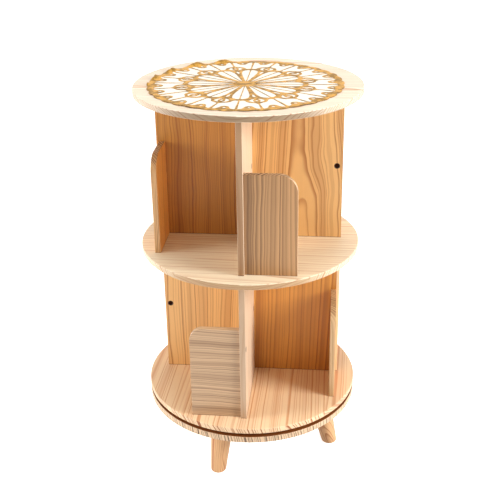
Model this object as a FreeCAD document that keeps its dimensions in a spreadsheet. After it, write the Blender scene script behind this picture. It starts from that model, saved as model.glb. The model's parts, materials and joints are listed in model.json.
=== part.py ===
"""Two-tier revolving bookcase in pine, on four splayed legs, with an openwork mat on its top.

A base board on four tapered legs carries a flat ball bearing. The round lower board turns on it, and on
that board stand two tiers of crossed dividers with a round shelf between them and a round board on top.
At the outer end of each divider a small stopper with one rounded corner keeps the books from sliding out.
Units are millimetres. +Z is up, the floor is z = 0, and the turning axis is x = y = 0.
"""
import FreeCAD, Part
import math
import os
import Sketcher
from types import SimpleNamespace
from FreeCAD import Placement, Rotation, Vector

doc = FreeCAD.newDocument("revolving_bookcase")

# Driving dimensions
SIZES = {
    "board_radius": 230,         # every round board
    "board_thick": 12,           # top board, middle shelf and lower board
    "board_ease": 1.5,           # rounding of the round boards' edges
    "base_thick": 14,            # the board that the legs carry
    "turn_gap": 8,               # from the base board to the lower board, filled by the bearing
    "tier_height": 320,          # clear height of a tier
    "divider_thick": 12,
    "divider_setback": 37,       # from the boards' edge in to a divider's outer end
    "divider_ease": 0.8,         # rounding of the upright edges at a divider's outer end
    "cross_shift": 10,           # from the turning axis back to the middle of the wide dividers
    "joint_end": 43,             # from a divider's outer end in to the first dowel or screw
    "joint_step": 50,            # from there in to the second one
    "dowel_radius": 3,
    "dowel_bite": 20,            # depth of a dowel in a divider or stopper
    "dowel_board_bite": 8,       # depth of a dowel that ends inside a round board
    "centre_dowel_step": 90,     # spacing up the tier of the dowels between crossed dividers
    "stopper_width": 103,        # from the divider's face to the stopper's free edge
    "stopper_height": 207,
    "stopper_thick": 12,
    "stopper_inset": 6,          # from the divider's outer end to the stopper's outer face
    "upper_stopper_corner": 36,  # radius of the rounded corner
    "lower_stopper_corner": 29,
    "stopper_ease": 0.8,
    "stopper_dowel_out": 70,     # from the divider's face to the dowel under the stopper
    "stopper_screw_height": 160, # of the screw above the shelf
    "counterbore_radius": 5.2,
    "counterbore_depth": 5.5,
    "screw_radius": 2,
    "screw_bite": 26,            # length of a screw in the piece that it holds
    "screw_spare": 1,            # from a screw's point to the end of its hole
    "screw_tip": 4,
    "screw_head_radius": 3.7,
    "screw_head_height": 2.4,
    "sunk_head_play": 1.2,       # radial, of a screw head in its counterbore
    "dome_share": 0.72,          # of a domed head's radius, left flat on its top
    "point_share": 0.15,         # of a screw's radius, left at its point
    "recess_span": 4,            # across the cross recess in a screw head
    "recess_width": 0.9,
    "recess_depth": 1.3,
    "fit_clearance": 0.05,       # radial, of dowels, screws and bolts in their holes
    "leg_height": 110,
    "leg_splay": 14,             # degrees that a leg leans outwards
    "leg_turn": -18,             # degrees that the legs are turned from the dividers, as photographed
    "leg_foot_setback": 41,      # from the boards' edge in to the circle of the feet
    "leg_foot_radius": 16.3,
    "leg_top_radius": 25,
    "leg_foot_ease": 4,
    "bolt_radius": 4,
    "bolt_bite": 25,             # length of the hanger bolt in the leg
    "insert_radius": 6,
    "insert_length": 10,
    "plate_side": 150,           # the bearing's square plates
    "plate_corner": 14,
    "plate_thick": 1.2,
    "plate_screw_out": 61,       # from the axis to a plate screw, along both sides
    "plate_screw_radius": 1.75,
    "plate_screw_length": 9,     # in the wood
    "plate_screw_spare": 0.5,
    "plate_screw_head_radius": 3.4,
    "plate_screw_head_height": 1.7,
    "access_hole_radius": 9,     # hole in the base board, for driving the screws of the upper plate
    "race_radius": 48,           # circle of the balls' centres
    "race_width": 12,
    "race_split": 1.4,           # from the balls' mid-plane to each race ring
    "ball_radius": 2.5,
    "ball_play": 0.1,            # from a ball to the ball tracks and the cage
    "ball_count": 24,
    "cage_width": 8,
    "cage_thick": 0.8,
    "lip_radius": 38,            # inner radius of the upper plate's lip
    "ring_radius": 36,           # outer radius of the retaining ring's wall
    "ring_thick": 1,
    "ring_foot": 7,              # width of the retaining ring's foot
    "ring_overlap": 2.5,         # of the ring's flange over the lip
    "ring_play": 0.4,
    "plate_bore": 26,            # radius of the hole in the lower plate
    "mat_margin": 37,            # from the boards' edge in to the valleys between the mat's scallops
    "mat_scallop": 3.5,          # height of a scallop beyond them
    "mat_film_thick": 0.4,
    "mat_film_margin": 3,        # from the mat's radius in to the film's edge
    "mat_net_thick": 0.5,
    "mat_shift_x": -4.5,         # the mat lies a little off centre
    "mat_shift_y": -5.5,
    "mat_rim": 8,                # width of the mat's solid border
    "mat_line": 2,               # width of the mat's thin lines
}
sheet = doc.addObject("Spreadsheet::Sheet", "Sizes")
for row, (name, number) in enumerate(SIZES.items(), start=1):
    sheet.set(f"A{row}", name)
    sheet.set(f"B{row}", str(number))
    sheet.setAlias(f"B{row}", name)
doc.recompute()

# The same numbers, for shapes that are worked out in code
sizes = SimpleNamespace(**{name: float(getattr(sheet, name)) for name in SIZES})
reach = sizes.board_radius - sizes.divider_setback
mat_radius = sizes.board_radius - sizes.mat_margin

# Heights of the boards' lower faces, as expressions on the sheet
BASE_Z = "Sizes.leg_height"
BEARING_Z = f"{BASE_Z} + Sizes.base_thick"
LOWER_Z = f"{BEARING_Z} + Sizes.turn_gap"
LOWER_TIER_Z = f"{LOWER_Z} + Sizes.board_thick"
MIDDLE_Z = f"{LOWER_TIER_Z} + Sizes.tier_height"
UPPER_TIER_Z = f"{MIDDLE_Z} + Sizes.board_thick"
TOP_Z = f"{UPPER_TIER_Z} + Sizes.tier_height"
MAT_Z = f"{TOP_Z} + Sizes.board_thick"
REACH = "(Sizes.board_radius - Sizes.divider_setback)"
JOINT_OUTER = f"({REACH} - Sizes.joint_end)"
JOINT_INNER = f"({REACH} - Sizes.joint_end - Sizes.joint_step)"
JOINT_RADII = (JOINT_INNER, JOINT_OUTER)
STOPPER_LINE = f"({REACH} - Sizes.stopper_inset - Sizes.stopper_thick / 2)"
DOWEL_HOLE = "(Sizes.dowel_radius + Sizes.fit_clearance)"
SCREW_HOLE = "(Sizes.screw_radius + Sizes.fit_clearance)"
PLATE_SCREW_HOLE = "(Sizes.plate_screw_radius + Sizes.fit_clearance)"
BALL_PLANE = "(Sizes.turn_gap / 2)"
HALF_DIVIDER = "Sizes.divider_thick / 2"
STOPPER_DOWEL_OUT = "(Sizes.divider_thick / 2 + Sizes.stopper_dowel_out)"
HEAD_HOLE = "(Sizes.screw_head_radius + 2 * Sizes.fit_clearance)"

ARMS = 4
# The side that a tier's stoppers point to, seen from above: 1 counter-clockwise, -1 clockwise
UPPER, LOWER = 1, -1
TIERS = ((UPPER, "upper", UPPER_TIER_Z), (LOWER, "lower", LOWER_TIER_Z))
# Where each arm of the crossed dividers points, in degrees from +X
ARM_NAMES = (("front", -90), ("right", 0), ("rear", 90), ("left", 180))
TIGHT = 1e-3                         # mm, for telling edges apart
nodes = []


def node(item, label):
    """Names a finished sub-part, which is then written to its own file."""
    item.Label = label
    nodes.append(item)
    return item


def lift(item, height, turn=0.0):
    """Places a sub-part at a height on the axis, turned about it by some degrees."""
    item.Placement = Placement(Vector(0, 0, 0), Rotation(Vector(0, 0, 1), turn))
    item.setExpression("Placement.Base.z", height)


def stand(body, height, turn):
    """Places a divider or stopper on its arm. Those along X stand behind the axis."""
    lift(body, height, turn)
    if turn % 180 == 0:
        body.setExpression("Placement.Base.y", "Sizes.cross_shift")


def arm_points(radius, out="0", back="Sizes.cross_shift"):
    """A point at a radius along each arm and at a distance out from its centre line, as expressions.

    The two arms along X are the halves of a wide divider, which stands behind the axis.
    """
    for k in range(ARMS):
        c = round(math.cos(math.radians(90 * k)))
        s = round(math.sin(math.radians(90 * k)))
        yield f"{c} * ({radius}) - {s} * ({out})", f"{s} * ({radius}) + {c} * ({out}) + {abs(c)} * {back}"


def new_body(name):
    return doc.addObject("PartDesign::Body", name)


def plane(body, role):
    return next(f for f in body.Origin.OriginFeatures if f.Role == role)


def sketch_on(body, role, name, offset=None):
    """A sketch on one of the body's own planes, moved along the plane's normal by an expression."""
    sketch = body.newObject("Sketcher::SketchObject", name)
    sketch.AttachmentSupport = (plane(body, role), "")
    sketch.MapMode = "FlatFace"
    if offset:
        sketch.setExpression("AttachmentOffset.Base.z", offset)
    return sketch


def dimension(sketch, kind, where, expression, label):
    """Adds a named dimension to a sketch and binds it to the sheet."""
    number = float(sketch.evalExpression(expression))
    index = sketch.addConstraint(Sketcher.Constraint(kind, *where, number))
    sketch.renameConstraint(index, label)
    sketch.setExpression(f"Constraints.{label}", expression)
    return index


def coordinate(sketch, geometry, point, axis, expression, label):
    """Fixes one coordinate of a sketch point, which may be zero."""
    number = float(sketch.evalExpression(expression))
    if abs(number) < 1e-9:
        across = -1 if axis == "Y" else -2
        sketch.addConstraint(Sketcher.Constraint("PointOnObject", geometry, point, across))
    else:
        dimension(sketch, "Distance" + axis, (-1, 1, geometry, point), expression, label)


def circle(sketch, x, y, radius, label):
    """A circle whose centre and radius are expressions."""
    centre = Vector(float(sketch.evalExpression(x)), float(sketch.evalExpression(y)), 0)
    size = float(sketch.evalExpression(radius))
    index = sketch.addGeometry(Part.Circle(centre, Vector(0, 0, 1), size), False)
    coordinate(sketch, index, 3, "X", x, label + "_x")
    coordinate(sketch, index, 3, "Y", y, label + "_y")
    dimension(sketch, "Radius", (index,), radius, label + "_radius")
    return index


def polygon(sketch, corners):
    """A closed outline of straight lines through corners, each a pair of expressions."""
    points = [
        Vector(float(sketch.evalExpression(x)), float(sketch.evalExpression(y)), 0)
        for x, y in corners
    ]
    first = sketch.GeometryCount
    for start, end in zip(points, points[1:] + points[:1]):
        sketch.addGeometry(Part.LineSegment(start, end), False)
    count = len(points)
    for i in range(count):
        following = first + (i + 1) % count
        sketch.addConstraint(Sketcher.Constraint("Coincident", first + i, 2, following, 1))
    for i, (x, y) in enumerate(corners):
        coordinate(sketch, first + i, 1, "X", x, f"corner{i}_x")
        coordinate(sketch, first + i, 1, "Y", y, f"corner{i}_y")


def pad(body, sketch, length, name="Pad"):
    feature = body.newObject("PartDesign::Pad", name)
    feature.Profile = sketch
    feature.setExpression("Length", length)
    doc.recompute()
    return feature


def pocket(body, sketch, depth, backwards=False, name="Pocket"):
    """Cuts a sketch into the body, to a depth. The cut has to remove something."""
    before = body.Shape.Volume
    feature = body.newObject("PartDesign::Pocket", name)
    feature.Profile = sketch
    feature.Reversed = backwards
    feature.setExpression("Length", depth)
    doc.recompute()
    if not body.Shape.Volume < before:
        raise RuntimeError(f"{name} in {body.Label} cuts nothing")
    return feature


def repeat(body, feature, count):
    """Repeats a cut around the body's upright axis."""
    pattern = body.newObject("PartDesign::PolarPattern", "Repeat")
    pattern.Originals = [feature]
    pattern.Axis = (plane_axis(body), [""])
    pattern.Angle = 360
    if isinstance(count, str):
        pattern.setExpression("Occurrences", count)
    else:
        pattern.Occurrences = count
    body.Tip = pattern
    doc.recompute()
    return pattern


def plane_axis(body):
    return next(f for f in body.Origin.OriginFeatures if f.Role == "Z_Axis")


def ease(body, chosen, radius, name="Ease"):
    """Rounds the edges of the body's tip that the test picks."""
    base = body.Tip
    names = [f"Edge{i}" for i, edge in enumerate(base.Shape.Edges, start=1) if chosen(edge)]
    feature = body.newObject("PartDesign::Fillet", name)
    feature.Base = (base, names)
    feature.setExpression("Radius", radius)
    doc.recompute()
    return feature


# Round boards
def round_board(name, thick, height):
    """A plain round board with eased edges, whose lower face is at a height."""
    body = new_body(name)
    outline = sketch_on(body, "XY_Plane", "Outline")
    circle(outline, "0", "0", "Sizes.board_radius", "board")
    pad(body, outline, thick)
    ease(body, lambda edge: True, "Sizes.board_ease")
    lift(body, height)
    return node(body, name)


def cross_holes(body, radius, depth, offset=None, backwards=False):
    """Two holes on each of the four divider lines."""
    drill = sketch_on(body, "XY_Plane", "CrossHoles", offset)
    for place, along in zip(("inner", "outer"), JOINT_RADII):
        for k, (x, y) in enumerate(arm_points(along)):
            circle(drill, x, y, radius, f"{place}{k}")
    pocket(body, drill, depth, backwards)


def stopper_dowel_holes(body, tier):
    """A blind hole in a board's upper face under each stopper of the tier that stands on it."""
    drill = sketch_on(body, "XY_Plane", "StopperDowelHoles", "Sizes.board_thick")
    for k, (x, y) in enumerate(arm_points(STOPPER_LINE, f"{tier} * {STOPPER_DOWEL_OUT}")):
        circle(drill, x, y, DOWEL_HOLE, f"dowel{k}")
    pocket(body, drill, "Sizes.dowel_board_bite")


top_board = round_board("top_board", "Sizes.board_thick", TOP_Z)
cross_holes(top_board, DOWEL_HOLE, "Sizes.dowel_board_bite", backwards=True)

middle_shelf = round_board("middle_shelf", "Sizes.board_thick", MIDDLE_Z)
cross_holes(middle_shelf, DOWEL_HOLE, "Sizes.board_thick", backwards=True)
stopper_dowel_holes(middle_shelf, UPPER)

lower_board = round_board("lower_board", "Sizes.board_thick", LOWER_Z)
cross_holes(lower_board, SCREW_HOLE, "Sizes.board_thick", backwards=True)
cross_holes(lower_board, HEAD_HOLE, "Sizes.screw_head_height", backwards=True)
stopper_dowel_holes(lower_board, LOWER)


def plate_screw_holes(body, depth, offset=None, backwards=False):
    """Four holes for the screws of a bearing plate."""
    drill = sketch_on(body, "XY_Plane", "PlateScrewHoles", offset)
    circle(drill, "Sizes.plate_screw_out", "Sizes.plate_screw_out", PLATE_SCREW_HOLE, "screw")
    repeat(body, pocket(body, drill, depth, backwards), ARMS)


plate_screw_holes(lower_board, "Sizes.plate_screw_length", backwards=True)

base_body = round_board("base_body", "Sizes.base_thick", BASE_Z)
nodes.remove(base_body)
plate_screw_holes(base_body, "Sizes.plate_screw_length", "Sizes.base_thick")
access = sketch_on(base_body, "XY_Plane", "AccessHole")
circle(access, "0", "Sizes.plate_screw_out * sqrt(2)", "Sizes.access_hole_radius", "access")
pocket(base_body, access, "Sizes.base_thick", backwards=True)


# Dividers
def divider(name, inner_end, tier, height, turn):
    """An upright board from its inner end, an expression, out along +X, turned about the axis.

    Its outer end carries a stopper on the side that the tier says, and the stopper's screw comes through
    it from the other side. A divider whose inner end is minus the reach goes right across, and has a
    stopper at each end.
    """
    across = inner_end.startswith("-")
    body = new_body(name)
    outline = sketch_on(body, "XY_Plane", "Outline")
    polygon(outline, [
        (inner_end, f"-{HALF_DIVIDER}"),
        (REACH, f"-{HALF_DIVIDER}"),
        (REACH, HALF_DIVIDER),
        (inner_end, HALF_DIVIDER),
    ])
    pad(body, outline, "Sizes.tier_height")

    def outer_upright(edge):
        ends = [v.Point for v in edge.Vertexes]
        upright = abs(ends[0].z - ends[-1].z) > TIGHT
        return upright and abs(abs(ends[0].x) - reach) < TIGHT

    ease(body, outer_upright, "Sizes.divider_ease")
    # A dowel or screw at two places in each end of each arm
    screwed = tier == LOWER
    foot_radius = SCREW_HOLE if screwed else DOWEL_HOLE
    foot_depth = "Sizes.screw_bite" if screwed else "Sizes.dowel_bite"
    signs = ("", "-") if across else ("",)
    for place, radius, depth, offset, backwards in (
        ("Foot", foot_radius, foot_depth, None, True),
        ("Head", DOWEL_HOLE, "Sizes.dowel_bite", "Sizes.tier_height", False),
    ):
        drill = sketch_on(body, "XY_Plane", place + "Holes", offset)
        for k, sign in enumerate(signs):
            circle(drill, sign + JOINT_INNER, "0", radius, f"inner{k}")
            circle(drill, sign + JOINT_OUTER, "0", radius, f"outer{k}")
        pocket(body, drill, depth, backwards)
    # Dowels between the crossed dividers
    if across:
        drill = sketch_on(body, "XZ_Plane", "CentreHoles", HALF_DIVIDER)
        depth = "Sizes.divider_thick"
        along = "0"
    else:
        drill = sketch_on(body, "YZ_Plane", "CentreHoles", inner_end)
        depth = "Sizes.dowel_bite"
        along = "0"
    for k in (-1, 0, 1):
        up = f"Sizes.tier_height / 2 + {k} * Sizes.centre_dowel_step"
        circle(drill, along, up, DOWEL_HOLE, f"dowel{k + 1}")
    pocket(body, drill, depth, backwards=not across)
    # The stopper's screw, sunk in a round hole in the face that the stopper isn't on
    for k, sign in enumerate(signs):
        face_side = tier if sign == "" else -tier
        far_face = "" if face_side > 0 else "-"
        for radius, depth, step in (
            ("Sizes.counterbore_radius", "Sizes.counterbore_depth", "Counterbore"),
            (SCREW_HOLE, "Sizes.divider_thick", "ScrewHole"),
        ):
            drill = sketch_on(body, "XZ_Plane", f"{step}{k}", f"{far_face}{HALF_DIVIDER}")
            circle(drill, f"{sign}{STOPPER_LINE}", "Sizes.stopper_screw_height", radius, "screw")
            pocket(body, drill, depth, backwards=face_side < 0, name=f"{step}{k}Cut")
    stand(body, height, turn)
    return node(body, name)


for tier, tier_name, tier_z in TIERS:
    divider(f"{tier_name}_divider_wide", f"-{REACH}", tier, tier_z, 0)
    divider(f"{tier_name}_divider_front", f"{HALF_DIVIDER} - Sizes.cross_shift", tier, tier_z, -90)
    divider(f"{tier_name}_divider_rear", f"{HALF_DIVIDER} + Sizes.cross_shift", tier, tier_z, 90)


# Stoppers
def stopper(name, tier, height, turn, corner):
    """A small upright board on the side of the arm along +X, turned about the axis with its arm."""
    body = new_body(name)
    outline = sketch_on(body, "YZ_Plane", "Outline", f"{STOPPER_LINE} - Sizes.stopper_thick / 2")
    near = f"{tier} * {HALF_DIVIDER}"
    free = f"{tier} * ({HALF_DIVIDER} + Sizes.stopper_width)"
    upper_end = "Sizes.stopper_height"
    polygon(outline, [(near, "0"), (free, "0"), (free, upper_end), (near, upper_end)])
    pad(body, outline, "Sizes.stopper_thick")
    edge_y = tier * (sizes.divider_thick / 2 + sizes.stopper_width)
    tall = sizes.stopper_height

    def free_corner(edge):
        ends = [v.Point for v in edge.Vertexes]
        return all(abs(p.y - edge_y) < TIGHT and abs(p.z - tall) < TIGHT for p in ends)

    ease(body, free_corner, corner, "Corner")

    def shown_rim(edge):
        """The edges of the two faces, apart from those on the divider and on the shelf."""
        box = edge.BoundBox
        in_face = box.XLength < TIGHT
        on_divider = max(abs(box.YMax), abs(box.YMin)) < sizes.divider_thick / 2 + TIGHT
        return in_face and not on_divider and box.ZMax > TIGHT

    ease(body, shown_rim, "Sizes.stopper_ease")
    drill = sketch_on(body, "XY_Plane", "DowelHole")
    circle(drill, STOPPER_LINE, f"{tier} * {STOPPER_DOWEL_OUT}", DOWEL_HOLE, "dowel")
    pocket(body, drill, "Sizes.dowel_bite", backwards=True)
    drill = sketch_on(body, "XZ_Plane", "ScrewHole", f"-{tier} * Sizes.divider_thick / 2")
    circle(drill, STOPPER_LINE, "Sizes.stopper_screw_height", SCREW_HOLE, "screw")
    pocket(body, drill, "Sizes.screw_bite", backwards=tier < 0, name="ScrewHoleCut")
    stand(body, height, turn)
    return node(body, name)


for tier, tier_name, tier_z in TIERS:
    for arm_name, turn in ARM_NAMES:
        corner = f"Sizes.{tier_name}_stopper_corner"
        stopper(f"{tier_name}_stopper_{arm_name}", tier, tier_z, turn, corner)


# Dowels and screws, each kind one node of separate solids
def group(name, members):
    compound = doc.addObject("Part::Compound", name)
    compound.Links = members
    return node(compound, name)


def dowel(x, y, z, length, direction=Vector(0, 0, 1)):
    """A round wooden pin from a point, given as expressions, along a direction."""
    pin = doc.addObject("Part::Cylinder", "Dowel")
    pin.setExpression("Radius", "Sizes.dowel_radius")
    pin.setExpression("Height", length)
    pin.Placement = Placement(Vector(), Rotation(Vector(0, 0, 1), direction))
    for axis, expression in zip("xyz", (x, y, z)):
        pin.setExpression(f"Placement.Base.{axis}", expression)
    return pin


group("top_dowels", [
    dowel(x, y, f"{TOP_Z} - Sizes.dowel_bite", "Sizes.dowel_bite + Sizes.dowel_board_bite")
    for radius in JOINT_RADII for x, y in arm_points(radius)
])
group("shelf_dowels", [
    dowel(x, y, f"{MIDDLE_Z} - Sizes.dowel_bite", "Sizes.board_thick + 2 * Sizes.dowel_bite")
    for radius in JOINT_RADII for x, y in arm_points(radius)
])
for tier, tier_name, tier_z in TIERS:
    group(f"{tier_name}_centre_dowels", [
        dowel(
            "0", "Sizes.cross_shift - Sizes.divider_thick / 2 - Sizes.dowel_bite",
            f"{tier_z} + Sizes.tier_height / 2 + {k} * Sizes.centre_dowel_step",
            "Sizes.divider_thick + 2 * Sizes.dowel_bite", Vector(0, 1, 0),
        )
        for k in (-1, 0, 1)
    ])
    out = f"{tier} * {STOPPER_DOWEL_OUT}"
    group(f"{tier_name}_stopper_dowels", [
        dowel(x, y, f"{tier_z} - Sizes.dowel_board_bite", "Sizes.dowel_board_bite + Sizes.dowel_bite")
        for x, y in arm_points(STOPPER_LINE, out)
    ])


def screw(length, radius, head_radius, head_height, flat):
    """A screw whose head's outer face is at z = 0 and whose point is at minus its length.

    A flat one has a countersunk head, and the other a low domed one.
    """
    rim = head_radius if flat else f"{head_radius} * Sizes.dome_share"
    root = radius if flat else head_radius
    head = doc.addObject("Part::Cone", "Head")
    head.setExpression("Radius1", root)
    head.setExpression("Radius2", rim)
    head.setExpression("Height", head_height)
    head.setExpression("Placement.Base.z", f"-({head_height})")
    shank = doc.addObject("Part::Cylinder", "Shank")
    shank.setExpression("Radius", radius)
    shank.setExpression("Height", f"{length} - {head_height} - Sizes.screw_tip")
    shank.setExpression("Placement.Base.z", f"-({length} - Sizes.screw_tip)")
    tip = doc.addObject("Part::Cone", "Tip")
    tip.setExpression("Radius1", f"{radius} * Sizes.point_share")
    tip.setExpression("Radius2", radius)
    tip.setExpression("Height", "Sizes.screw_tip")
    tip.setExpression("Placement.Base.z", f"-({length})")
    solid = doc.addObject("Part::MultiFuse", "ScrewSolid")
    solid.Shapes = [head, shank, tip]
    slots = []
    for long_side, short_side in (("Length", "Width"), ("Width", "Length")):
        slot = doc.addObject("Part::Box", "Slot")
        slot.setExpression(long_side, "Sizes.recess_span")
        slot.setExpression(short_side, "Sizes.recess_width")
        slot.setExpression("Height", "Sizes.recess_depth")
        long_axis, short_axis = ("x", "y") if long_side == "Length" else ("y", "x")
        slot.setExpression(f"Placement.Base.{long_axis}", "-Sizes.recess_span / 2")
        slot.setExpression(f"Placement.Base.{short_axis}", "-Sizes.recess_width / 2")
        slot.setExpression("Placement.Base.z", "-Sizes.recess_depth")
        slots.append(slot)
    recess = doc.addObject("Part::MultiFuse", "Recess")
    recess.Shapes = slots
    made = doc.addObject("Part::Cut", "Screw")
    made.Base = solid
    made.Tool = recess
    return made


def aim(made, x, y, z, head_way):
    """Places a screw with its head's face at a point, given as expressions, facing head_way."""
    made.Placement = Placement(Vector(), Rotation(Vector(0, 0, 1), head_way))
    for axis, expression in zip("xyz", (x, y, z)):
        made.setExpression(f"Placement.Base.{axis}", expression)
    return made


WOOD_SCREW = ("Sizes.screw_radius", "Sizes.screw_head_radius", "Sizes.screw_head_height", True)
SUNK_HEAD_RADIUS = "(Sizes.counterbore_radius - Sizes.sunk_head_play)"
SUNK_SCREW = ("Sizes.screw_radius", SUNK_HEAD_RADIUS, "Sizes.screw_head_height", False)
BOARD_SCREW_LENGTH = "(Sizes.board_thick + Sizes.screw_bite - Sizes.screw_spare)"
SUNK_DEPTH = "(Sizes.divider_thick - Sizes.counterbore_depth)"
SUNK_SCREW_LENGTH = f"(Sizes.screw_head_height + {SUNK_DEPTH} + Sizes.screw_bite - Sizes.screw_spare)"
group("lower_board_screws", [
    aim(screw(BOARD_SCREW_LENGTH, *WOOD_SCREW), x, y, LOWER_Z, Vector(0, 0, -1))
    for radius in JOINT_RADII for x, y in arm_points(radius)
])
for tier, tier_name, tier_z in TIERS:
    made = []
    head_out = f"-{tier} * (Sizes.divider_thick / 2 - Sizes.counterbore_depth + Sizes.screw_head_height)"
    for k, (x, y) in enumerate(arm_points(STOPPER_LINE, head_out)):
        head_way = Rotation(Vector(0, 0, 1), 90 * k).multVec(Vector(0, -tier, 0))
        z = f"{tier_z} + Sizes.stopper_screw_height"
        made.append(aim(screw(SUNK_SCREW_LENGTH, *SUNK_SCREW), x, y, z, head_way))
    group(f"{tier_name}_stopper_screws", made)

# Legs: a tapered round leg leans outwards, its top and foot cut level
slope = math.radians(sizes.leg_splay)
leg_way = Vector(-math.sin(slope), 0, math.cos(slope))
LEG_SPARE = 10                       # length past the level cuts, before they are made
bolt_hole_radius = sizes.bolt_radius + sizes.fit_clearance
leg_length = sizes.leg_height / math.cos(slope)
flare = (sizes.leg_top_radius - sizes.leg_foot_radius) / leg_length
foot_centre = Vector(sizes.board_radius - sizes.leg_foot_setback, 0, 0)
top_centre = foot_centre + leg_way * leg_length


def leg_turned(item, k):
    """Turns a leg piece to the k-th of the four legs."""
    turn = Placement(Vector(), Rotation(Vector(0, 0, 1), sizes.leg_turn + 90 * k))
    item.Placement = turn.multiply(item.Placement)
    return item


def tilted_rod(name, radius, start, length):
    """A cylinder on the leg's axis, from a distance below the leg's top centre."""
    rod = doc.addObject("Part::Cylinder", name)
    rod.Radius = radius
    rod.Height = length
    rod.Placement = Placement(top_centre + leg_way * start, Rotation(Vector(0, 0, 1), leg_way))
    return rod


def leg(name, k):
    """One leg, with a hole in its top for the hanger bolt."""
    cone = doc.addObject("Part::Cone", "LegCone")
    cone.Radius1 = sizes.leg_foot_radius - flare * LEG_SPARE
    cone.Radius2 = sizes.leg_top_radius + flare * LEG_SPARE
    cone.Height = leg_length + 2 * LEG_SPARE
    cone.Placement = Placement(foot_centre - leg_way * LEG_SPARE, Rotation(Vector(0, 0, 1), leg_way))
    slab = doc.addObject("Part::Box", "LegSlab")
    slab.Length = slab.Width = 4 * sizes.board_radius
    slab.setExpression("Height", "Sizes.leg_height")
    slab.Placement = Placement(Vector(-2 * sizes.board_radius, -2 * sizes.board_radius, 0), Rotation())
    level = doc.addObject("Part::MultiCommon", "LegLevel")
    level.Shapes = [cone, slab]
    hole = tilted_rod("BoltHole", bolt_hole_radius, -sizes.bolt_bite, sizes.bolt_bite + 2 * LEG_SPARE)
    bored = doc.addObject("Part::Cut", "LegBored")
    bored.Base = level
    bored.Tool = hole
    doc.recompute()
    eased = doc.addObject("Part::Fillet", name)
    eased.Base = bored
    foot_edges = [i for i, edge in enumerate(bored.Shape.Edges, start=1) if edge.BoundBox.ZMax < TIGHT]
    eased.Edges = [(i, sizes.leg_foot_ease, sizes.leg_foot_ease) for i in foot_edges]
    doc.recompute()
    leg_turned(eased, k)
    return node(eased, name)


for k, side in enumerate(("right", "rear", "left", "front")):
    leg(f"leg_{side}", k)

# Each leg's hanger bolt screws into a threaded insert in the base board, tilted like the leg
insert_rise = sizes.base_thick / 2 / math.cos(slope) - sizes.insert_length / 2
bolts, inserts, insert_holes = [], [], []
for k in range(ARMS):
    bolt_length = sizes.bolt_bite + insert_rise + sizes.insert_length
    bolt = tilted_rod("Bolt", sizes.bolt_radius, -sizes.bolt_bite, bolt_length)
    bolts.append(leg_turned(bolt, k))
    barrel = tilted_rod("Barrel", sizes.insert_radius, insert_rise, sizes.insert_length)
    bore = tilted_rod("Bore", bolt_hole_radius, -LEG_SPARE, 4 * LEG_SPARE)
    insert = doc.addObject("Part::Cut", "Insert")
    insert.Base = barrel
    insert.Tool = bore
    inserts.append(leg_turned(insert, k))
    hole = tilted_rod("InsertHole", sizes.insert_radius + sizes.fit_clearance, -LEG_SPARE, 5 * LEG_SPARE)
    insert_holes.append(leg_turned(hole, k))
group("leg_hanger_bolts", bolts)
group("leg_insert_nuts", inserts)
base_board = doc.addObject("Part::Cut", "base_board")
base_board.Base = base_body
drills = doc.addObject("Part::Compound", "InsertHoles")
drills.Links = insert_holes
base_board.Tool = drills
node(base_board, "base_board")


# Flat ball bearing between the base board and the lower board
def plate(name, bottom, race_bottom, race_top):
    """A square plate with rounded corners and a raised race ring, from heights in the bearing."""
    body = new_body(name)
    outline = sketch_on(body, "XY_Plane", "Outline", bottom)
    side = "Sizes.plate_side / 2"
    polygon(outline, [(f"-{side}", f"-{side}"), (side, f"-{side}"), (side, side), (f"-{side}", side)])
    pad(body, outline, "Sizes.plate_thick")

    def upright(edge):
        return edge.BoundBox.ZLength > TIGHT

    ease(body, upright, "Sizes.plate_corner", "Corners")
    race = sketch_on(body, "XZ_Plane", "Race")
    inner = "Sizes.race_radius - Sizes.race_width / 2"
    outer = "Sizes.race_radius + Sizes.race_width / 2"
    polygon(race, [(inner, race_bottom), (outer, race_bottom), (outer, race_top), (inner, race_top)])
    ring = body.newObject("PartDesign::Revolution", "RaceRing")
    ring.Profile = race
    ring.ReferenceAxis = (race, ["V_Axis"])
    ring.Angle = 360
    doc.recompute()
    return body


def race_groove(body):
    """The groove that the balls run in."""
    before = body.Shape.Volume
    section = sketch_on(body, "XZ_Plane", "BallTrack")
    circle(section, "Sizes.race_radius", BALL_PLANE, "Sizes.ball_radius + Sizes.ball_play", "track")
    groove = body.newObject("PartDesign::Groove", "BallTrackCut")
    groove.Profile = section
    groove.ReferenceAxis = (section, ["V_Axis"])
    groove.Angle = 360
    doc.recompute()
    if not body.Shape.Volume < before:
        raise RuntimeError(f"the ball track in {body.Label} cuts nothing")


def round_opening(body, radius, bottom, depth):
    drill = sketch_on(body, "XY_Plane", "Opening", bottom)
    circle(drill, "0", "0", radius, "opening")
    pocket(body, drill, depth, backwards=True, name="OpeningCut")


lower_plate = plate("bearing_lower_plate", "0", "Sizes.plate_thick / 2", f"{BALL_PLANE} - Sizes.race_split")
race_groove(lower_plate)
round_opening(lower_plate, "Sizes.plate_bore", "0", "Sizes.plate_thick")
plate_screw_holes(lower_plate, "Sizes.plate_thick", backwards=True)
lift(lower_plate, BEARING_Z)
node(lower_plate, "bearing_lower_plate")

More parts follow.
